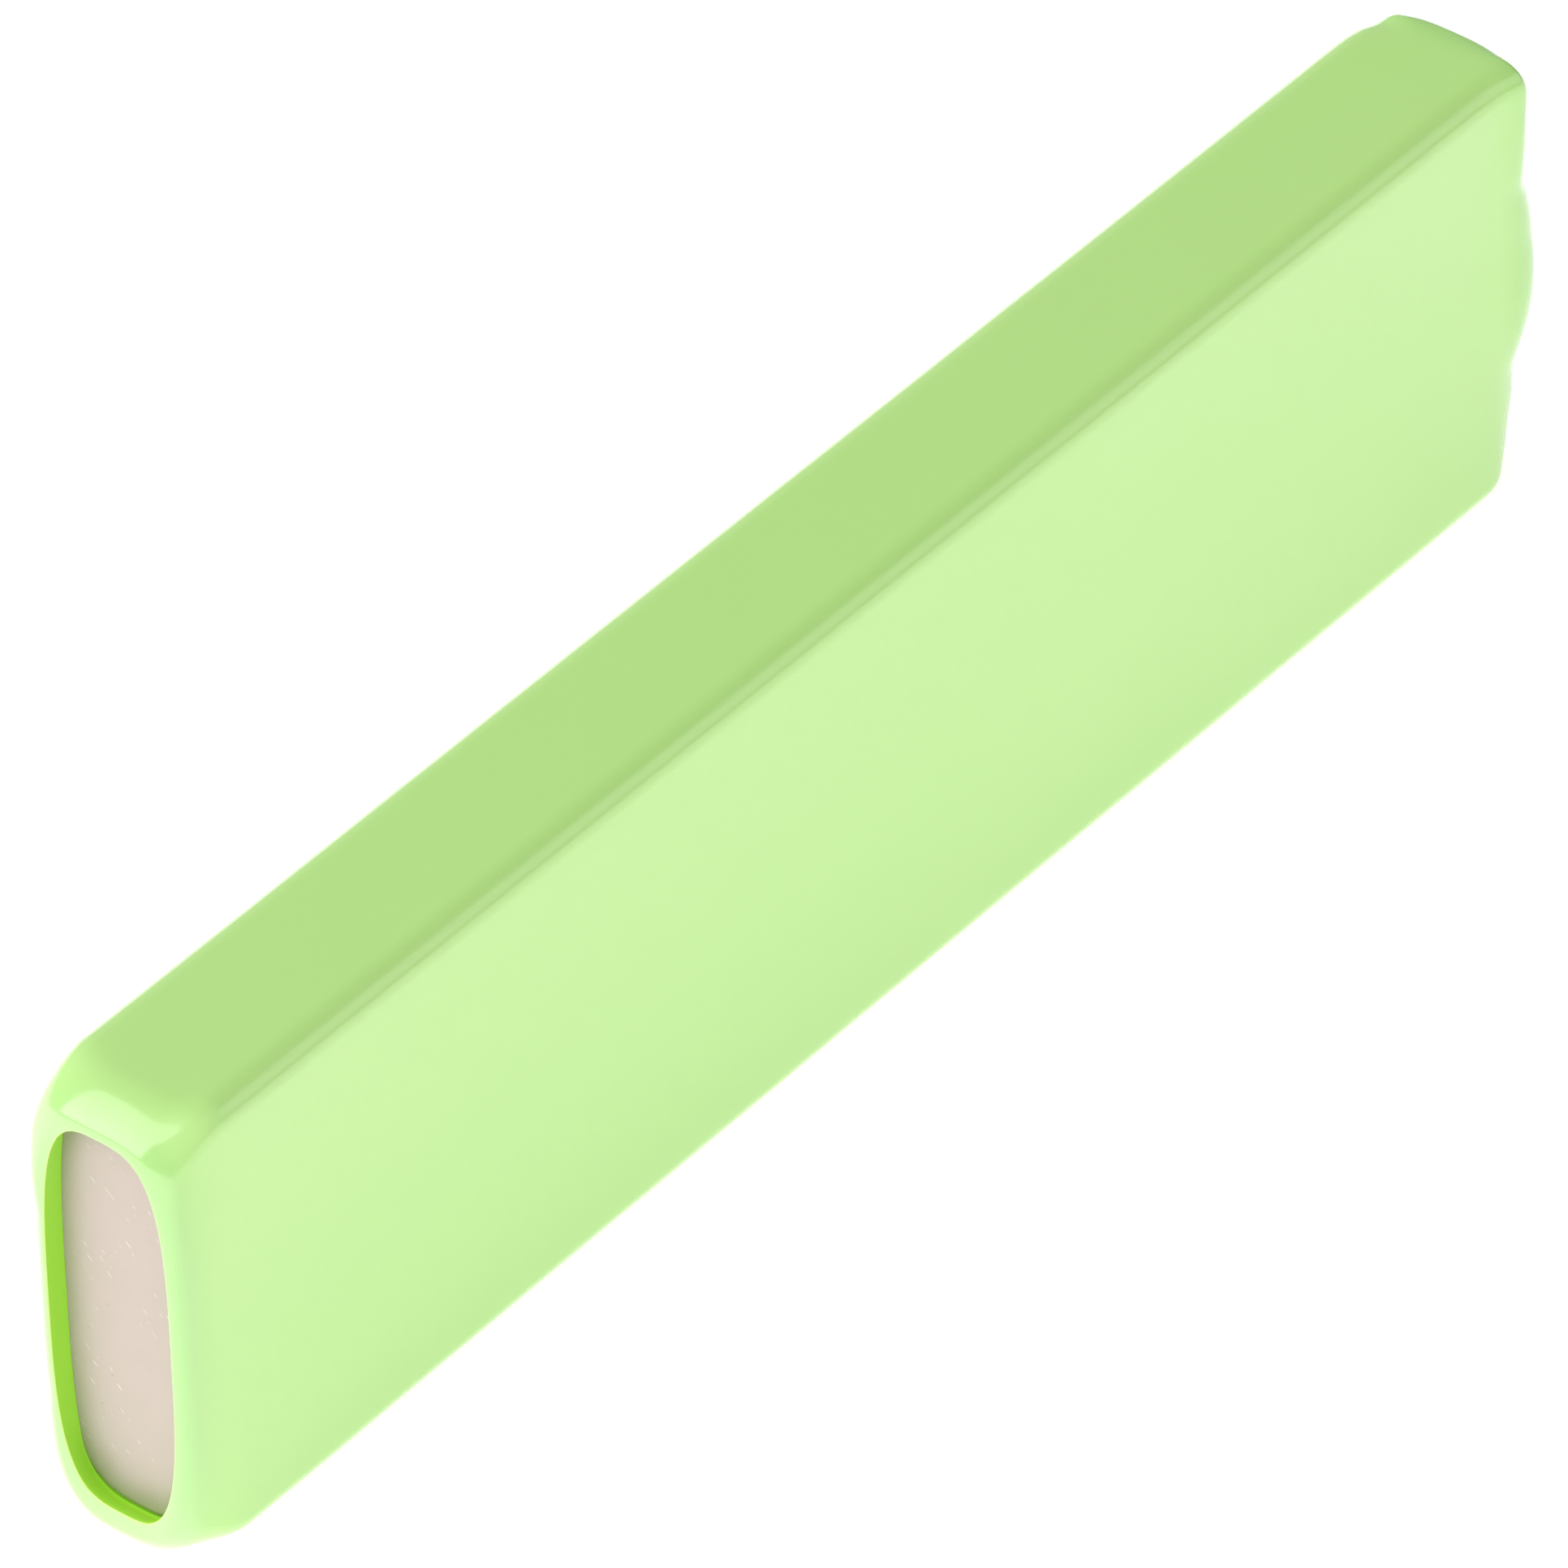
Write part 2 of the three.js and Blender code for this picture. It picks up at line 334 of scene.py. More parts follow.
@dataclass(frozen=True)
class Finish:
    """A procedural finish: a name, a base colour and a roughness that subclasses vary."""

    name: str
    colour: Colour
    roughness: float

    def material(self) -> bpy.types.Material:
        """Build the material.

        Returns:
            A node material with one Principled shader.
        """
        material = bpy.data.materials.new(self.name)
        material.use_nodes = True
        material.node_tree.nodes.clear()
        graph = Graph(material.node_tree)
        place = graph.value("ShaderNodeTexCoord", output="Object")
        shader = graph.node("ShaderNodeBsdfPrincipled", None, self.sockets(graph, place))
        graph.node("ShaderNodeOutputMaterial", None, {"Surface": shader.outputs["BSDF"]})
        return material

    def sockets(self, graph: Graph, place: Value) -> dict[str, Any]:
        """Give the shader's inputs.

        Args:
            graph: The material's tree.
            place: Object coordinates, in metres.

        Returns:
            Values and links by input name.
        """
        return {"Base Color": rgba(self.colour), "Roughness": self.roughness}

    def noise(self, graph: Graph, place: Value, grain: float, detail: float = 2.0,
              stretch: Triple = (1.0, 1.0, 1.0)) -> Value:
        """Make noise with grains of a given size.

        Args:
            graph: The material's tree.
            place: Object coordinates.
            grain: The size of one grain in millimetres.
            detail: How many finer octaves are added.
            stretch: How many times smaller the grain is along each axis.

        Returns:
            Noise between 0 and 1.
        """
        spread = graph.value("ShaderNodeVectorMath", {"operation": "MULTIPLY"},
                             {0: place, 1: stretch})
        sockets = {"Vector": spread, "Scale": 1.0 / (grain * MM), "Detail": detail}
        return graph.value("ShaderNodeTexNoise", None, sockets, "Fac")

    def bump(self, graph: Graph, height: Value, depth: float) -> Value:
        """Turn a height between 0 and 1 into a normal.

        Args:
            graph: The material's tree.
            height: The height.
            depth: What height 1 stands for, in millimetres.

        Returns:
            The bumped normal.
        """
        sockets = {"Height": height, "Distance": depth * MM, "Strength": 1.0}
        return graph.value("ShaderNodeBump", None, sockets)


@dataclass(frozen=True)
class SleeveFilm(Finish):
    """Glossy heat-shrink film: paler over the can; where it folds in at the ends its colour holds
    painted shade on the lip and the window's wall, a painted highlight along the rim and a painted
    glow on the wall.
    """

    # Lip: a darker copy of the film colour, painted shade that tones down the strong light falling
    # on the ends.
    lip: Colour = (0.36, 0.67, 0.19)
    # Ridge: a lighter yellow-green along the window's rim, a painted highlight.
    ridge: Colour = (0.56, 0.80, 0.14)
    # Wall: the deeper green of the film seen from inside, darkened further as painted shade of the
    # recessed wall.
    wall: Colour = (0.20, 0.43, 0.012)
    # Colour of a painted glow on the window's wall, standing in for light passed through the film.
    wall_light: Colour = (0.42, 1.0, 0.05)
    cloud: Colour = (0.50, 0.785, 0.262)
    dust: Colour = (0.2, 0.32, 0.1)
    # Strength of that painted glow on the window's wall.
    painted_wall_glow: float = 0.3
    gloss: float = 0.38
    lip_gloss: float = 1.0
    gloss_roughness: float = 0.1
    index: float = 1.48
    gloss_index: float = 1.78
    cloud_size: float = 14.0
    cloud_share: float = 0.35
    peel_size: float = 1.6
    peel_depth: float = 0.0035
    dust_pitch: float = 4.0
    dust_share: float = 0.35

    def sockets(self, graph: Graph, place: Value) -> dict[str, Any]:
        """Tint the film by how far it is folded in, painting shade on the lip and wall, a highlight
        along the rim and a glow on the wall, with faint clouding and dust.

        Args:
            graph: The material's tree.
            place: Object coordinates, in metres.

        Returns:
            Values and links by input name.
        """
        fold = graph.value("ShaderNodeAttribute", {"attribute_name": "fold"}, None, "Fac")
        # Colour steps by fold: the film colour, the lip's painted shade, the rim's painted
        # highlight, then the wall's deep green, which is partly painted shade.
        stops = [(0.0, self.colour), (0.30, self.lip), (LIP_FOLD, self.lip), (0.52, self.ridge),
                 (0.58, self.wall), (1.0, self.wall)]
        folded = graph.value("ShaderNodeValToRGB", {"stops": stops}, {"Fac": fold})
        clouds = self.noise(graph, place, self.cloud_size, 1.0, (0.5, 1.0, 1.0)).ramp(0.42, 0.62)
        tinted = graph.blend(clouds * self.cloud_share, folded, self.cloud)
        body = 1.0 - fold.ramp(0.0, 0.2)
        base = graph.blend(body, folded, tinted)
        orange_peel = self.noise(graph, place, self.peel_size, 2.0)
        cell = graph.node("ShaderNodeTexVoronoi", None,
                          {"Vector": place, "Scale": 1.0 / (self.dust_pitch * MM)})
        spot = 1.0 - Value(graph, cell.outputs["Distance"]).ramp(0.012, 0.03)
        chosen = graph.split(Value(graph, cell.outputs["Color"]))[0].above(0.72)
        # Dust specks over a film colour that already holds painted shade and a painted highlight.
        dust_over_painted_light = graph.blend(spot * chosen * self.dust_share, base, self.dust)
        return {
            "Base Color": dust_over_painted_light,
            "Roughness": self.roughness - 0.04 + 0.08 * self.noise(graph, place, 4.0),
            "IOR": self.index,
            "Coat Weight": (self.gloss + (self.lip_gloss - self.gloss) * fold.ramp(0.05, 0.3)
                            - self.lip_gloss * fold.ramp(0.5, 0.58)),
            "Coat Roughness": self.gloss_roughness,
            "Coat IOR": self.gloss_index,
            # Painted glow on the window's wall: emission standing in for light passed through the
            # film.
            "Emission Color": graph.blend(fold.ramp(0.52, WALL_FOLD), BLACK, self.wall_light),
            "Emission Strength": self.painted_wall_glow,
            "Normal": self.bump(graph, orange_peel, self.peel_depth),
        }


@dataclass(frozen=True)
class Nickel(Finish):
    """Nickel plating with a faint mottle, a fine grain and hairline scratches."""

    mottle: Colour = (0.49, 0.425, 0.375)
    bright: Colour = (0.85, 0.82, 0.78)
    pitted: Colour = (0.3, 0.23, 0.18)
    metallic: float = 0.35

    def sockets(self, graph: Graph, place: Value) -> dict[str, Any]:
        """Mottle the plating and scratch it lightly.

        Args:
            graph: The material's tree.
            place: Object coordinates, in metres.

        Returns:
            Values and links by input name.
        """
        blotches = self.noise(graph, place, 0.9, 3.0).ramp(0.35, 0.7)
        grain = self.noise(graph, place, 0.07, 2.0)
        x, y, z = graph.split(place)
        diagonal = graph.vector(x, (y + z) * 0.5, (y - z) * 5.0)
        hairlines = self.noise(graph, diagonal, 0.45, 1.0).ramp(0.73, 0.78)
        pits = self.noise(graph, place, 0.16, 1.0).ramp(0.76, 0.8)
        mottled = graph.blend(blotches * 0.55, self.colour, self.mottle)
        scratched = graph.blend(hairlines * 0.6, mottled, self.bright)
        return {
            "Base Color": graph.blend(pits * 0.5, scratched, self.pitted),
            "Metallic": self.metallic,
            "Roughness": self.roughness + 0.1 * blotches + 0.05 * grain - 0.15 * hairlines,
            "Normal": self.bump(graph, grain - 0.8 * pits - 0.5 * hairlines, 0.002),
        }


@dataclass(frozen=True)
class Speckled(Finish):
    """A dull material whose colour and height vary with one grain size."""

    dark: Colour = BLACK
    grain: float = 0.1
    depth: float = 0.01
    stretch: Triple = (1.0, 1.0, 1.0)
    metallic: float = 0.0

    def sockets(self, graph: Graph, place: Value) -> dict[str, Any]:
        """Vary the colour, roughness and height with the grain.

        Args:
            graph: The material's tree.
            place: Object coordinates, in metres.

        Returns:
            Values and links by input name.
        """
        grain = self.noise(graph, place, self.grain, 4.0, self.stretch)
        patches = self.noise(graph, place, self.grain * 12.0, 2.0)
        mixed = grain.ramp(0.35, 0.65) * 0.75 + patches * 0.25
        return {
            "Base Color": graph.blend(mixed, self.dark, self.colour),
            "Metallic": self.metallic,
            "Roughness": self.roughness - 0.12 * patches,
            "Normal": self.bump(graph, grain, self.depth),
        }


@dataclass(frozen=True)
class LitFloor(Finish):
    """A matte white table top that is lit from below."""

    glow: float = 0.64

    def sockets(self, graph: Graph, place: Value) -> dict[str, Any]:
        """Let the table glow evenly under its own colour.

        Args:
            graph: The material's tree.
            place: Object coordinates, in metres.

        Returns:
            Values and links by input name.
        """
        return {**super().sockets(graph, place), "Emission Color": rgba(WHITE),
                "Emission Strength": self.glow}


FINISHES: dict[str, Finish] = {
    "sleeve_film": SleeveFilm("sleeve_film", (0.475, 0.78, 0.242), 0.22),
    "nickel_plate": Nickel("nickel_plate", (0.485, 0.405, 0.36), 0.45),
    "nickel_strip": Nickel("nickel_strip", (0.74, 0.72, 0.68), 0.36, (0.6, 0.58, 0.55)),
    "washer_fibre": Speckled("washer_fibre", (0.86, 0.84, 0.78), 0.85, (0.70, 0.67, 0.60), 0.09,
                             0.012, (0.3, 1.0, 1.0)),
    "gasket_nylon": Speckled("gasket_nylon", (0.80, 0.77, 0.64), 0.55, (0.70, 0.66, 0.52), 0.4,
                             0.004),
    "vent_rubber": Speckled("vent_rubber", (0.04, 0.04, 0.04), 0.9, (0.015, 0.015, 0.015), 0.06,
                            0.01),
    "positive_mass": Speckled("positive_mass", (0.075, 0.085, 0.078), 0.95, (0.02, 0.025, 0.022),
                              0.16, 0.03, metallic=0.15),
    "negative_mass": Speckled("negative_mass", (0.16, 0.152, 0.145), 0.9, (0.06, 0.057, 0.054),
                              0.1, 0.02, metallic=0.35),
    "separator_felt": Speckled("separator_felt", (0.9, 0.9, 0.87), 0.95, (0.72, 0.72, 0.68), 0.05,
                               0.03, (0.12, 1.0, 1.0)),
}


# ---- Profiles wrapped round the cell ----


@dataclass(frozen=True)
class Ring:
    """One ring of a wrapped surface: where it is along the cell and how its outline is drawn."""

    x: float
    inset_y: float
    inset_z: float
    radius: float
    oval: float = 0.0
    fold: float = 0.0
    loose: float = 0.0


@dataclass(frozen=True)
class Swell:
    """A local push of a surface, strongest at a point and gone one reach above and below it."""

    centre: Triple
    reach: Triple
    push: Triple


@dataclass
class Wrap:
    """Builds a closed shell by wrapping a line of rings round a rounded rectangle.

    The rings hold insets from the rectangle, so one line of them makes a tube with folded ends, a
    hat or a washer, whatever the rectangle's size. Sizes are in millimetres.
    """

    half_y: float
    half_z: float
    corner_steps: int = 10
    narrow_steps: int = 16
    wide_steps: int = 48
    oval_power: float = 3.3
    waviness: float = 0.0
    wave_size: float = 6.0
    seed: int = 3
    swells: tuple[Swell, ...] = ()

    SIDES = ("corner", "narrow", "corner", "wide") * 2
    NUMBERS = {
        "Half Thickness": "half_y",
        "Half Height": "half_z",
        "Oval Power": "oval_power",
        "Waviness": "waviness",
        "Wave Size": "wave_size",
    }
    COUNTS = {
        "Corner Steps": "corner_steps",
        "Narrow Steps": "narrow_steps",
        "Wide Steps": "wide_steps",
        "Seed": "seed",
    }

    def build(self, name: str, rings: Sequence[Ring], material: bpy.types.Material,
              height: float) -> bpy.types.Object:
        """Wrap rings into a mesh object.

        Args:
            name: The object's name.
            rings: The rings in order, ending beside the first one or on the axis.
            material: The surface's material.
            height: The height of the rectangle's middle, in millimetres.

        Returns:
            The object, as a plain mesh in place.
        """
        piece = add_object(name, self._profile(name, rings))
        modifier = piece.modifiers.new("wrap", "NODES")
        modifier.node_group = self._tree(name)
        inputs = {item.name: item.identifier for item in modifier.node_group.interface.items_tree
                  if item.in_out == "INPUT"}
        for label, attribute in {**self.NUMBERS, **self.COUNTS}.items():
            modifier[inputs[label]] = getattr(self, attribute)
        modifier[inputs["Middle Height"]] = height
        modifier[inputs["Material"]] = material
        piece.update_tag()
        flatten(piece)
        piece.data.name = name
        return piece

    @staticmethod
    def _profile(name: str, rings: Sequence[Ring]) -> bpy.types.Mesh:
        """Hold the rings as the points of a line, with their other values as attributes.

        Args:
            name: The name of the piece.
            rings: The rings in order.

        Returns:
            The line's mesh.
        """
        mesh = bpy.data.meshes.new(name + "_profile")
        points = [(ring.x, ring.inset_y, ring.inset_z) for ring in rings]
        mesh.from_pydata(points, [(i, i + 1) for i in range(len(points) - 1)], [])
        for label in ("radius", "oval", "fold", "loose"):
            attribute = mesh.attributes.new(label, "FLOAT", "POINT")
            attribute.data.foreach_set("value", [getattr(ring, label) for ring in rings])
        return mesh

    def _tree(self, name: str) -> bpy.types.NodeTree:
        """Make the geometry tree that does the wrapping.

        Args:
            name: The name of the piece.

        Returns:
            The tree, with a named input for each size.
        """
        tree = bpy.data.node_groups.new("wrap_" + name, "GeometryNodeTree")
        face = tree.interface
        face.new_socket("Geometry", in_out="INPUT", socket_type="NodeSocketGeometry")
        for label in (*self.NUMBERS, "Middle Height"):
            face.new_socket(label, in_out="INPUT", socket_type="NodeSocketFloat")
        for label in self.COUNTS:
            face.new_socket(label, in_out="INPUT", socket_type="NodeSocketInt")
        face.new_socket("Material", in_out="INPUT", socket_type="NodeSocketMaterial")
        face.new_socket("Geometry", in_out="OUTPUT", socket_type="NodeSocketGeometry")
        graph = Graph(tree)
        given = graph.node("NodeGroupInput")
        size = {label: Value(graph, given.outputs[label])
                for label in (*self.NUMBERS, *self.COUNTS, "Middle Height")}

        rows = graph.value("GeometryNodeAttributeDomainSize", None,
                           {"Geometry": given.outputs["Geometry"]}, "Point Count")
        steps = [size[side.title() + " Steps"] for side in self.SIDES]
        columns = sum(steps[1:], steps[0])
        grid = graph.node("GeometryNodeMeshGrid", None,
                          {"Vertices X": columns + 1.0, "Vertices Y": rows})
        index = graph.value("GeometryNodeInputIndex")
        column = (index / rows + 0.001).floor()
        row = index - column * rows

        def ring_value(kind: str, source: Value) -> Value:
            """Read a value of the ring that this row stands for."""
            sockets = {"Geometry": given.outputs["Geometry"], "Value": source, "Index": row}
            return graph.value("GeometryNodeSampleIndex", {"data_type": kind}, sockets)

        def ring_number(label: str) -> Value:
            """Read a named number of the ring that this row stands for."""
            named = graph.value("GeometryNodeInputNamedAttribute", None, {"Name": label})
            return ring_value("FLOAT", named)

        place = ring_value("FLOAT_VECTOR", graph.value("GeometryNodeInputPosition"))
        x, inset_y, inset_z = graph.split(place)
        radius = ring_number("radius")
        half_y = size["Half Thickness"] - inset_y
        half_z = size["Half Height"] - inset_z

        turns, start = [], None
        for count in steps:
            from_start = column if start is None else column - start
            turns.append((from_start / count).clamped())
            start = count if start is None else start + count
        angle = (turns[0] + turns[2] + turns[4] + turns[6]) * (math.pi / 2)
        core_y = 1.0 - 2.0 * turns[1] + 2.0 * turns[5]
        core_z = 1.0 - 2.0 * turns[3] + 2.0 * turns[7]
        y = core_y * (half_y - radius) + radius * angle.cos()
        z = core_z * (half_z - radius) + radius * angle.sin()

        power = size["Oval Power"]
        share_y = abs(y / half_y.at_least(0.001)) ** power
        share_z = abs(z / half_z.at_least(0.001)) ** power
        to_oval = (share_y + share_z).at_least(0.001) ** (-1.0 / power)
        scale = 1.0 + ring_number("oval") * (to_oval - 1.0)
        spot = graph.vector(x * MM, y * scale * MM, (z * scale + size["Middle Height"]) * MM)

        shell = graph.node("GeometryNodeSetPosition", None,
                           {"Geometry": grid.outputs["Mesh"], "Position": spot})
        marked = shell.outputs["Geometry"]
        for label in ("fold", "loose"):
            sockets = {"Geometry": marked, "Name": label, "Value": ring_number(label)}
            store = graph.node("GeometryNodeStoreNamedAttribute", {"data_type": "FLOAT"}, sockets)
            marked = store.outputs["Geometry"]
        closed = graph.node("GeometryNodeMergeByDistance", None,
                            {"Geometry": marked, "Distance": 0.001 * MM})
        moved = self._loosen(graph, closed.outputs["Geometry"], size)
        smooth = graph.node("GeometryNodeSetShadeSmooth", None, {"Geometry": moved})
        real = graph.node("GeometryNodeRealizeInstances", None,
                          {"Geometry": smooth.outputs["Geometry"]})
        dressed = graph.node("GeometryNodeSetMaterial", None, {
            "Geometry": real.outputs["Geometry"], "Material": given.outputs["Material"]})
        graph.node("NodeGroupOutput", None, {"Geometry": dressed.outputs["Geometry"]})
        return tree

    def _loosen(self, graph: Graph, geometry: bpy.types.NodeSocket,
                size: dict[str, Value]) -> bpy.types.NodeSocket:
        """Push the loose rings by the swells and by low waves.

        Args:
            graph: The geometry tree.
            geometry: The closed shell.
            size: The tree's inputs by name.

        Returns:
            The pushed shell.
        """
        position = graph.value("GeometryNodeInputPosition")
        along = graph.split(position)
        loose = graph.value("GeometryNodeInputNamedAttribute", None, {"Name": "loose"})
        pushes = [Value(graph, graph.vector(0.0, 0.0, 0.0).socket)]
        for swell in self.swells:
            far = [((coordinate - centre * MM) / (reach * MM)) ** 2.0
                   for coordinate, centre, reach in zip(along, swell.centre, swell.reach)]
            strength = (-(far[0] + far[1])).exp() * (1.0 - far[2]).at_least(0.0) * MM
            pushes.append(graph.vector(*(strength * part for part in swell.push)))
        wave = graph.value("ShaderNodeTexNoise", {"noise_dimensions": "4D"}, {
            "Vector": position, "W": size["Seed"], "Scale": 1.0 / (size["Wave Size"] * MM),
            "Detail": 1.0})
        normal = graph.value("GeometryNodeInputNormal")
        rise = (wave - 0.5) * size["Waviness"] * MM
        pushes.append(graph.value("ShaderNodeVectorMath", {"operation": "SCALE"},
                                  {"Vector": normal, "Scale": rise}))
        total = pushes[0]
        for push in pushes[1:]:
            total = graph.value("ShaderNodeVectorMath", {"operation": "ADD"}, {0: total, 1: push})
        offset = graph.value("ShaderNodeVectorMath", {"operation": "SCALE"},
                             {"Vector": total, "Scale": loose})
        moved = graph.node("GeometryNodeSetPosition", None,
                           {"Geometry": geometry, "Offset": offset})
        return moved.outputs["Geometry"]


# ---- The cell's pieces ----


def corners(node: str) -> tuple[Vector, Vector]:
    """Give a CAD node's lowest and highest corners in millimetres."""
    low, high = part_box(node)
    return low / MM, high / MM


@dataclass
class Piece:
    """A visible piece that stands for a CAD node and takes its finish from a material slot."""

    node: str
    slot: str
    body: str = CELL

    def settle(self, piece: bpy.types.Object) -> bpy.types.Object:
        """Tie a finished object to its body, and hide the CAD node it stands for.

        Args:
            piece: The finished object.

        Returns:
            The same object.
        """
        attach(piece, self.body)
        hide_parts(self.node)
        log.info("%s: %d faces", piece.name, len(piece.data.polygons))
        return piece

    @property
    def size(self) -> tuple[Vector, Vector]:
        """The node's corners in millimetres."""
        return corners(self.node)

    @property
    def halves(self) -> tuple[float, float]:
        """Half the node's thickness, and half its height."""
        low, high = self.size
        return (high.y - low.y) / 2, (high.z - low.z) / 2

    @property
    def middle(self) -> float:
        """The height of the node's middle."""
        low, high = self.size
        return (low.z + high.z) / 2


class Shoulder(Enum):
    """How the film turns from a face into a lip."""

    ROUND = 2.0
    CHAMFERED = 1.88
    GENTLE = 0.0

    def share(self, part: float) -> float:
        """Fall from 1 at the ridge to 0 at the full outline.

        Args:
            part: How much of the shoulder lies between the ridge and this place.

        Returns:
            The share of the lip's inset that is left.
        """
        rest = 1.0 - min(part, 1.0)
        if self is Shoulder.GENTLE:
            return rest * rest
        return 1.0 - (1.0 - rest ** self.value) ** (1.0 / self.value)


@dataclass
class Lip:
    """How one end of the sleeve folds in: from the full outline to the rim of its window."""

    rim_half_y: float = 2.375
    rim_half_z: float = 7.31
    reach_y: float = 0.5
    reach_z: float = 2.0
    shoulder_y: Shoulder = Shoulder.ROUND
    shoulder_z: Shoulder = Shoulder.CHAMFERED
    oval_reach: float = 2.6
    rim_radius: float = 0.06
    undercut: float = 0.35
    proud: float = 0.0
    rows: int = 30

    @property
    def reach(self) -> float:
        """How far the lip's shape reaches along the cell."""
        return max(self.reach_y, self.reach_z, self.oval_reach)

    def outline(self, depth: float, deep_y: float, deep_z: float) -> tuple[float, float, float]:
        """Give the outline at a depth below the ridge.

        Args:
            depth: The distance along the cell from the ridge.
            deep_y: The lip's inset from a wide face.
            deep_z: The lip's inset from a narrow face.

        Returns:
            Both insets, and how oval the outline is.
        """
        oval = max(0.0, 1.0 - depth / self.oval_reach) ** 1.6
        return (deep_y * self.shoulder_y.share(depth / self.reach_y),
                deep_z * self.shoulder_z.share(depth / self.reach_z), oval)


@dataclass
class Sleeve(Piece):
    """The heat-shrink sleeve, tight over the can and folded into a lip at each end."""

    node: str = "sleeve"
    slot: str = "sleeve_film"
    corner_radius: float = 0.86
    wall: float = 0.2
    row_pitch: float = 0.6
    near_lip: Lip = field(default_factory=Lip)
    far_lip: Lip = field(default_factory=lambda: Lip(
        reach_y=1.9, reach_z=0.45, shoulder_y=Shoulder.GENTLE, shoulder_z=Shoulder.ROUND,
        oval_reach=0.7, undercut=0.0, proud=0.1))
    seat_flare: float = 0.03
    seat_gap: float = 0.002
    seat_tuck: float = 0.08
    seat_heel: float = 0.006
    seat_rise: float = 0.09
    wall_slope: float = 0.02
    washer_gap: float = 0.03

    def build(self, material: bpy.types.Material) -> bpy.types.Object:
        """Wrap the film round the cell.

        Args:
            material: The film's material.

        Returns:
            The finished sleeve.
        """
        low, high = self.size
        half_y, half_z = self.halves
        wrap = Wrap(half_y, half_z, waviness=0.05, wave_size=7.0, swells=self._swells(low, high),
                    corner_steps=12, narrow_steps=18, wide_steps=56)
        rings = self._rings(low, high)
        return self.settle(wrap.build("shrink_sleeve", rings, material, self.middle))

    def _rings(self, low: Vector, high: Vector) -> list[Ring]:
        """Lay the rings from the seat on the can's bottom, over the outside, to the far seat.

        Args:
            low: The sleeve's lowest corner.
            high: The sleeve's highest corner.

        Returns:
            The rings, round the film and back to the first.
        """
        can_low, _ = corners("can")
        _, washer_high = corners("end_washer")
        far_x = high.x + self.far_lip.proud
        near = self._lip_rings(self.near_lip, low.x, can_low.x, 1)
        far = self._lip_rings(self.far_lip, far_x, washer_high.x, -1)
        start, end = near[-1].x, far[-1].x
        count = round((end - start) / self.row_pitch)
        body = [Ring(start + (end - start) * i / count, 0, 0, self.corner_radius, loose=1.0)
                for i in range(1, count)]
        far_inner = self._inner_rings(self.far_lip, far_x, washer_high.x + self.washer_gap, -1)
        near_inner = self._inner_rings(self.near_lip, low.x, can_low.x, 1)
        return near + body + far[::-1] + far_inner + near_inner[::-1] + near[:1]

    def _depths(self, lip: Lip) -> tuple[float, float]:
        """How far a lip's rim is set in from a wide face, and from a narrow face."""
        half_y, half_z = self.halves
        return half_y - lip.rim_half_y, half_z - lip.rim_half_z

    def _lip_rings(self, lip: Lip, ridge_x: float, seat_x: float, inward: int) -> list[Ring]:
        """Lay the rings of one end, from its seat out over the ridge to the full outline.

        Args:
            lip: The end's shape.
            ridge_x: Where the fold's ridge stands.
            seat_x: Where the fold rests on the piece under it.
            inward: The sign of the direction from the ridge to the cell's middle.

        Returns:
            The rings in order.
        """
        deep_y, deep_z = self._depths(lip)
        gap, bend = self.seat_gap, lip.rim_radius
        seat = seat_x - inward * gap
        wall_end = seat_x - inward * (gap + self.seat_rise)
        rings = []

        def add(x: float, extra: float, fold: float) -> None:
            """Add a ring on the window's wall.

            Args:
                x: Where the ring is along the cell.
                extra: How far it is set in from the rim.
                fold: How far the film is folded in there.
            """
            lean = lip.undercut * max(0.0, fold - WALL_FOLD) / (1.0 - WALL_FOLD)
            rings.append(Ring(x, deep_y + extra, deep_z + extra - lean, self.corner_radius,
                              1.0 - 0.25 * lean / max(lip.undercut, 0.01), fold))

        add(seat, self.seat_flare - self.seat_tuck, 1.0)
        add(seat, self.seat_flare, 1.0)
        add(seat - inward * self.seat_heel, self.seat_flare, 1.0)
        add((seat + wall_end) / 2, self.seat_flare * 0.7, 1.0)
        wall_start = ridge_x + inward * bend
        for share in (1.0, 0.75, 0.5, 0.25):
            add(wall_start + (wall_end - wall_start) * share, self.wall_slope * share,
                WALL_FOLD + (1.0 - WALL_FOLD) * share)
        for step in range(5):
            turn = step * math.pi / 8
            x = ridge_x + inward * bend * (1 - math.sin(turn))
            add(x, -bend * (1 - math.cos(turn)), 0.58 - 0.03 * step)
        for step in range(1, lip.rows + 1):
            depth = lip.reach * (step / lip.rows) ** 2
            inset_y, inset_z, oval = lip.outline(depth, deep_y - bend, deep_z - bend)
            fold = LIP_FOLD * max(inset_y / deep_y, inset_z / deep_z)
            rings.append(Ring(ridge_x + inward * depth, inset_y, inset_z, self.corner_radius,
                              oval, fold, 1.0))
        return rings

    def _inner_rings(self, lip: Lip, ridge_x: float, start_x: float, inward: int) -> list[Ring]:
        """Lay the rings of the inner skin at one end, one wall thickness under the outer skin.

        Args:
            lip: The end's shape.
            ridge_x: Where the fold's ridge stands.
            start_x: Where the inner skin starts.
            inward: The sign of the direction from the ridge to the cell's middle.

        Returns:
            The rings in order.
        """
        rings = []
        deep_y, deep_z = self._depths(lip)
        first = abs(start_x - ridge_x)
        for step in range(9):
            depth = first + max(0.3, lip.reach - first) * (step / 8) ** 1.5
            inset_y, inset_z, oval = lip.outline(depth, deep_y, deep_z)
            rings.append(Ring(ridge_x + inward * depth, inset_y + self.wall, inset_z + self.wall,
                              self.corner_radius - self.wall, oval, 1.0, 1.0))
        return rings

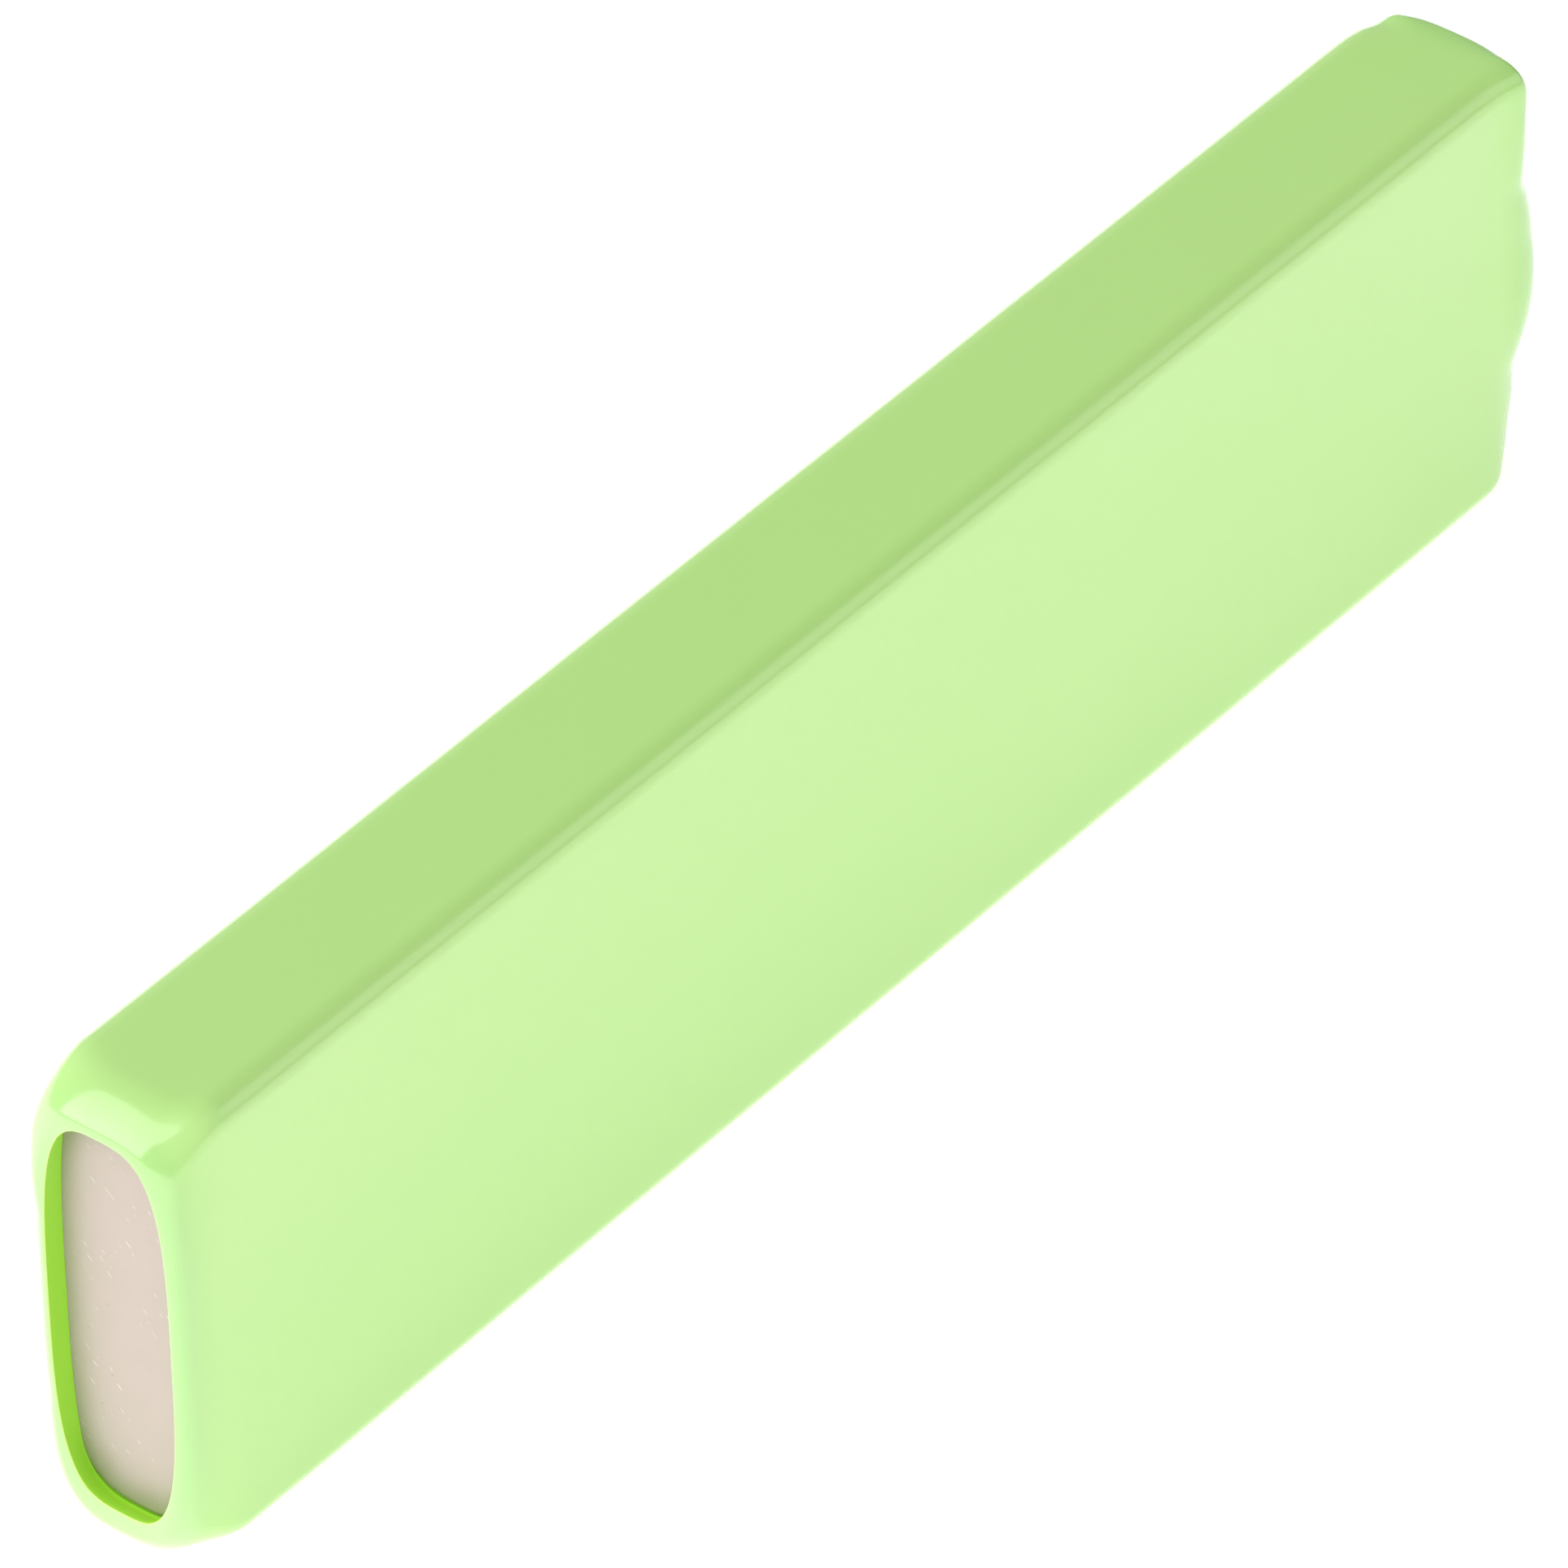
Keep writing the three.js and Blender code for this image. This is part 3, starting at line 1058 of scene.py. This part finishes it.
    def _swells(self, low: Vector, high: Vector) -> tuple[Swell, ...]:
        """Place the bulges and puckers of the folded ends.

        Args:
            low: The sleeve's lowest corner.
            high: The sleeve's highest corner.

        Returns:
            The swells, each with its centre, its reach and its push.
        """
        middle = self.middle
        return (
            Swell((high.x, low.y, middle), (1.0, 1.5, 3.6), (0.32, -0.54, 0.0)),
            Swell((high.x - 0.1, low.y, high.z), (1.0, 1.5, 7.0), (0.05, -0.53, 0.0)),
            Swell((high.x, low.y, low.z), (1.2, 1.5, 3.6), (-0.36, 0.05, 0.0)),
            Swell((high.x, low.y, low.z), (0.9, 1.2, 1.8), (-0.15, 0.0, 0.35)),
            Swell((high.x, high.y, high.z), (1.3, 1.0, 3.0), (-0.1, -0.1, -0.42)),
            Swell((high.x - 1.15, high.y - 0.4, high.z), (0.5, 0.9, 3.0), (0.0, 0.0, -0.05)),
            Swell((high.x - 0.45, high.y - 0.9, high.z), (0.5, 0.8, 3.0), (0.0, 0.05, 0.1)),
            Swell((low.x + 0.2, 0.0, low.z), (0.8, 4.0, 4.0), (0.0, 0.0, -0.56)),
            Swell((low.x + 0.4, high.y, middle + 6.3), (1.2, 1.5, 3.2), (-0.08, 0.28, 0.0)),
            Swell((low.x + 0.4, high.y, low.z), (1.6, 2.6, 4.5), (-0.1, 0.18, -0.08)),
        )


def mirrored(rings: Sequence[Ring], middle_x: float) -> list[Ring]:
    """Repeat rings in reverse order on the other side of a plane across the cell."""
    return [Ring(2 * middle_x - r.x, r.inset_y, r.inset_z, r.radius, r.oval) for r in rings[::-1]]


def bend_rings(x: float, inset: tuple[float, float], size: float, radius: float, rising: bool,
               steps: int = 6) -> list[Ring]:
    """Round an outer edge between an end face and the side of a piece.

    Args:
        x: Where the end face is.
        inset: The side's insets from the wrap's rectangle.
        size: The edge's own radius.
        radius: The outline's corner radius at the side.
        rising: Whether the side is reached from the end face, going along +X.

    Returns:
        The rings from the face to the side, or from the side to the face.
    """
    rings = []
    for step in range(steps + 1):
        turn = math.pi / 2 * step / steps
        along, across = (math.cos(turn), math.sin(turn))[::1 if rising else -1]
        drop, back = size * (1 - across), size * (1 - along)
        rings.append(Ring(x + back if rising else x - back, inset[0] + drop, inset[1] + drop,
                          max(SHARPEST, radius - drop)))
    return rings


@dataclass
class Can(Piece):
    """The deep-drawn can: a thin cup whose bottom corners are drawn to a soft oval."""

    node: str = "can"
    slot: str = "nickel_plate"
    corner_radius: float = 0.68
    wall: float = 0.3
    bottom: float = 0.4
    lip: Lip = field(default_factory=lambda: Lip(reach_y=0.5, reach_z=1.5, oval_reach=2.2,
                                                 shoulder_z=Shoulder.ROUND))
    edge_y: float = 0.42
    edge_z: float = 0.9
    widest_oval: float = 0.75

    def build(self, material: bpy.types.Material) -> bpy.types.Object:
        """Draw the cup: outer bottom, outside, mouth, inside, inner bottom.

        Args:
            material: The plating.

        Returns:
            The finished can.
        """
        low, high = self.size
        half_y, half_z = self.halves
        outer = self._skin(low.x, 0.0)
        inner = self._skin(low.x + self.bottom, self.wall)
        mouth = [Ring(high.x, 0, 0, self.corner_radius),
                 Ring(high.x, self.wall, self.wall, self.corner_radius - self.wall)]
        ends = [Ring(x, half_y, half_z, 0.0) for x in (low.x, low.x + self.bottom)]
        wrap = Wrap(half_y, half_z, corner_steps=8, narrow_steps=6, wide_steps=16)
        rings = ends[:1] + outer + mouth + inner[::-1] + ends[1:]
        return self.settle(wrap.build("drawn_can", rings, material, self.middle))

    def _skin(self, bottom_x: float, inset: float) -> list[Ring]:
        """Lay one skin's rings from its flat bottom up round the drawn corner.

        Args:
            bottom_x: Where the skin's bottom is.
            inset: How far the skin is inside the can's outline.

        Returns:
            The rings in order.
        """
        rings = []
        for step in range(15):
            depth = self.lip.reach * (step / 14) ** 2
            inset_y, inset_z, oval = self.lip.outline(depth, self.edge_y, self.edge_z)
            rings.append(Ring(bottom_x + depth, inset_y + inset, inset_z + inset,
                              self.corner_radius - inset * 0.9, oval * self.widest_oval))
        return rings


@dataclass
class EndWasher(Piece):
    """The fibre washer round the positive terminal, its punched edges slightly broken."""

    node: str = "end_washer"
    slot: str = "washer_fibre"
    corner_radius: float = 0.68
    hole_half_y: float = 2.05
    hole_half_z: float = 3.55
    hole_radius: float = 1.0
    edge: float = 0.05

    def build(self, material: bpy.types.Material) -> bpy.types.Object:
        """Punch the washer.

        Args:
            material: The fibre.

        Returns:
            The finished washer.
        """
        low, high = self.size
        half_y, half_z = self.halves
        deep_y, deep_z = half_y - self.hole_half_y, half_z - self.hole_half_z
        hole = [Ring(low.x + self.edge, deep_y, deep_z, self.hole_radius),
                Ring(low.x, deep_y - self.edge, deep_z - self.edge,
                     self.hole_radius + self.edge)]
        side = bend_rings(low.x, (0.0, 0.0), self.edge, self.corner_radius, True, 3)
        half = hole + side
        rings = half + mirrored(half, (low.x + high.x) / 2) + half[:1]
        wrap = Wrap(half_y, half_z, corner_steps=10, narrow_steps=4, wide_steps=14)
        return self.settle(wrap.build("fibre_washer", rings, material, self.middle))


@dataclass
class PositiveCap(Piece):
    """The pressed contact cap: a long button on a flange, with a gas slot at each end."""

    node: str = "positive_cap"
    slot: str = "nickel_plate"
    sheet: float = 0.2
    button_half_y: float = 1.25
    button_half_z: float = 2.6
    button_radius: float = 1.2
    flange_radius: float = 0.7
    flange_edge: float = 0.04
    top_edge: float = 0.14
    foot_bend: float = 0.1
    slot_width: float = 0.8
    slot_height: float = 0.48

    def build(self, material: bpy.types.Material) -> bpy.types.Object:
        """Press the cap from the inside of its top, round the flange, to the outside.

        Args:
            material: The plating.

        Returns:
            The finished cap.
        """
        low, high = self.size
        half_y, half_z = self.halves
        side = (half_y - self.button_half_y, half_z - self.button_half_z)
        inner = (side[0] + self.sheet, side[1] + self.sheet)
        inner_radius = self.button_radius - self.sheet
        inside = bend_rings(high.x - self.sheet, inner, self.top_edge / 2, inner_radius, False)
        flange_top = low.x + self.sheet
        flange = (bend_rings(low.x, (0.0, 0.0), self.flange_edge, self.flange_radius, True, 3)
                  + bend_rings(flange_top, (0.0, 0.0), self.flange_edge, self.flange_radius,
                               False, 3))
        foot = []
        for step in range(5):
            turn = math.pi / 2 * step / 4
            away = self.foot_bend * (1 - math.sin(turn))
            foot.append(Ring(flange_top + self.foot_bend * (1 - math.cos(turn)),
                             side[0] - away, side[1] - away, self.button_radius + away))
        outside = bend_rings(high.x, side, self.top_edge, self.button_radius, False)
        rings = ([Ring(high.x - self.sheet, half_y, half_z, 0.0)] + inside[::-1]
                 + [Ring(low.x, *inner, inner_radius)] + flange + foot + outside
                 + [Ring(high.x, half_y, half_z, 0.0)])
        wrap = Wrap(half_y, half_z, corner_steps=14, narrow_steps=2, wide_steps=10)
        piece = wrap.build("contact_cap", rings, material, self.middle)
        self._cut_slots(piece, flange_top, low.z - 1, high.z + 1)
        return self.settle(piece)

    def _cut_slots(self, piece: bpy.types.Object, foot_x: float, z0: float, z1: float) -> None:
        """Cut one gas slot through both ends of the button.

        Args:
            piece: The cap.
            foot_x: Where the button stands on its flange.
            z0: A height under the cap.
            z1: A height over the cap.
        """
        x0, x1, half = foot_x + 0.01, foot_x + self.slot_height, self.slot_width / 2
        points = [(x * MM, y * MM, z * MM) for x in (x0, x1) for y in (-half, half)
                  for z in (z0, z1)]
        mesh = bpy.data.meshes.new("slot_cutter")
        mesh.from_pydata(points, [], [(0, 1, 3, 2), (4, 6, 7, 5), (0, 4, 5, 1), (2, 3, 7, 6),
                                      (0, 2, 6, 4), (1, 5, 7, 3)])
        cutter = add_object("slot_cutter", mesh)
        modifier = piece.modifiers.new("slots", "BOOLEAN")
        modifier.operation, modifier.solver, modifier.object = "DIFFERENCE", "EXACT", cutter
        flatten(piece)
        bpy.data.objects.remove(cutter)


@dataclass
class Puck(Piece):
    """A round disc with softened edges: the vent's valve disc or its rubber cushion."""

    name: str = "puck"
    edge: float = 0.05
    barrel: float = 0.0

    def build(self, material: bpy.types.Material) -> bpy.types.Object:
        """Mould the disc from the middle of one face to the middle of the other.

        Args:
            material: The disc's material.

        Returns:
            The finished disc.
        """
        low, high = self.size
        radius = (high.y - low.y) / 2
        corner = radius - self.barrel
        first = bend_rings(low.x, (self.barrel, self.barrel), self.edge, corner, True)
        middle_x = (low.x + high.x) / 2
        half = [Ring(low.x, radius, radius, 0.0)] + first
        rings = half + [Ring(middle_x, 0.0, 0.0, radius)] + mirrored(half, middle_x)
        wrap = Wrap(radius, radius, corner_steps=12, narrow_steps=1, wide_steps=1)
        return self.settle(wrap.build(self.name, rings, material, self.middle))


@dataclass
class Cushion(Puck):
    """The rubber cushion that holds the vent shut; in the real cell it flattens when the vent
    lifts.
    """

    joint: str = "vent_lift"
    clearance: float = 0.02
    lift: float = 0.15
    margin: float = 0.01

    def build(self, material: bpy.types.Material) -> bpy.types.Object:
        """Mould the cushion and give it a mesh of its own.

        Args:
            material: The rubber.

        Returns:
            The finished cushion.
        """
        piece = super().build(material)
        low, high = self.size
        anchor = (high.x * MM, 0.0, self.middle * MM)
        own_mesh(piece)
        return piece


def dress_node(name: str, materials: dict[str, bpy.types.Material]) -> None:
    """Give a CAD node that stays in view the material of its slot.

    Args:
        name: The node.
        materials: The finished materials by slot.
    """
    slots = {entry["node"]: entry["material_slot"] for entry in frame["record"]["subparts"]}
    node = frame["nodes"][name]
    node.data.materials.clear()
    node.data.materials.append(materials[slots[name]])
    log.info("%s keeps its shape, in %s", name, slots[name])


# ---- The studio ----


def direction(azimuth: float, elevation: float) -> Vector:
    """Point from the middle of things towards an azimuth and elevation in degrees.

    Args:
        azimuth: The turn round the upright axis, 0 at -Y and 90 at +X.
        elevation: The rise over the level.

    Returns:
        The unit vector.
    """
    turn, rise = math.radians(azimuth), math.radians(elevation)
    return Vector((math.sin(turn) * math.cos(rise), -math.cos(turn) * math.cos(rise),
                   math.sin(rise)))


@dataclass(frozen=True)
class Viewpoint:
    """The camera: its direction, distance and long lens."""

    azimuth: float = -50.628
    elevation: float = 39.235
    roll: float = -1.434
    distance: float = 0.48208
    lens: float = 358.68
    sensor: float = 36.0
    aim: Triple = (-0.00135, 0.0, 0.008367)

    def place(self) -> bpy.types.Object:
        """Make the camera.

        Returns:
            The scene's camera.
        """
        back = direction(self.azimuth, self.elevation)
        level = Vector((0, 0, 1)).cross(back).normalized()
        upward = back.cross(level)
        turn = math.radians(self.roll)
        right = math.cos(turn) * level + math.sin(turn) * upward
        up = math.cos(turn) * upward - math.sin(turn) * level
        data = bpy.data.cameras.new("view")
        data.lens = self.lens
        data.sensor_width = self.sensor
        data.clip_start, data.clip_end = 0.01, 50.0
        camera = add_object("view", data)
        turned = Matrix((right, up, back)).transposed().to_4x4()
        camera.matrix_world = Matrix.Translation(Vector(self.aim) + back * self.distance) @ turned
        bpy.context.scene.camera = camera
        return camera


@dataclass(frozen=True)
class Softbox:
    """A large soft light that points at the cell and that the camera doesn't see."""

    name: str
    azimuth: float
    elevation: float
    distance: float
    size: float
    power: float

    def place(self) -> bpy.types.Object:
        """Make the light.

        Returns:
            The light, facing the cell.
        """
        data = bpy.data.lights.new(self.name, "AREA")
        data.shape = "SQUARE"
        data.size = self.size
        data.energy = self.power
        light = add_object(self.name, data)
        away = direction(self.azimuth, self.elevation)
        light.location = away * self.distance
        light.rotation_euler = away.to_track_quat("Z", "Y").to_euler()
        light.visible_camera = False
        return light


@dataclass(frozen=True)
class Studio:
    """A plain pale floor under an even sky with one darker side, and softboxes."""

    sky: float = 0.60
    dark_sky: float = 0.17
    dark_side: Triple = (0.6, 0.0, 0.8)
    dark_reach: tuple[float, float] = (18.0, 45.0)
    floor_colour: Colour = (0.93, 0.93, 0.93)
    floor_size: float = 12.0
    softboxes: tuple[Softbox, ...] = (
        Softbox("front_softbox", -30.0, 38.0, 1.2, 0.9, 0.6),
        Softbox("left_softbox", -118.0, 42.0, 1.2, 1.7, 19.0),
        Softbox("right_softbox", 43.0, 26.0, 1.2, 0.6, 0.9),
    )

    def build(self) -> None:
        """Make the floor, the sky and the lights, and set how colours are shown."""
        scene = bpy.context.scene
        scene.view_settings.view_transform = "Standard"
        scene.view_settings.look = "None"
        world = bpy.data.worlds.new("studio")
        world.use_nodes = True
        world.node_tree.nodes.clear()
        graph = Graph(world.node_tree)
        seen = graph.value("ShaderNodeLightPath", output="Is Camera Ray")
        towards = graph.value("ShaderNodeTexCoord", output="Generated")
        facing = graph.value("ShaderNodeVectorMath", {"operation": "DOT_PRODUCT"},
                             {0: towards, 1: self.dark_side}, "Value")
        inner, outer = (math.cos(math.radians(reach)) for reach in self.dark_reach)
        sky = self.sky - (self.sky - self.dark_sky) * facing.ramp(outer, inner)
        strength = sky + seen * (1.0 - sky)
        background = graph.node("ShaderNodeBackground", None, {"Strength": strength})
        graph.node("ShaderNodeOutputWorld", None, {"Surface": background.outputs[0]})
        scene.world = world
        for softbox in self.softboxes:
            softbox.place()
        self._floor()

    def _floor(self) -> bpy.types.Object:
        """Make the floor as one wide sheet at the cell's foot.

        Returns:
            The floor.
        """
        half = self.floor_size / 2
        mesh = bpy.data.meshes.new("floor")
        mesh.from_pydata([(-half, -half, 0), (half, -half, 0), (half, half, 0), (-half, half, 0)],
                         [], [(0, 1, 2, 3)])
        floor = add_object("floor", mesh)
        mesh.materials.append(LitFloor("floor", self.floor_colour, 0.9).material())
        return floor


# ---- The scene ----


def main() -> None:
    """Build the studio, then every piece in order from the outside in."""
    logging.basicConfig(level=logging.INFO, format="%(message)s")
    Viewpoint().place()
    Studio().build()
    materials = {slot: finish.material() for slot, finish in FINISHES.items()}
    pieces = [
        Sleeve(),
        Can(),
        EndWasher(),
        PositiveCap(),
        Cushion("vent_cushion", "vent_rubber", name="rubber_cushion", edge=0.07, barrel=0.03),
        Puck("vent_valve", "vent_rubber", VENT, name="valve_disc", edge=0.04),
    ]
    for piece in pieces:
        piece.build(materials[piece.slot])
    replaced = {piece.node for piece in pieces}
    for name in frame["nodes"]:
        if name not in replaced:
            dress_node(name, materials)


if __name__ == "__main__":
    main()
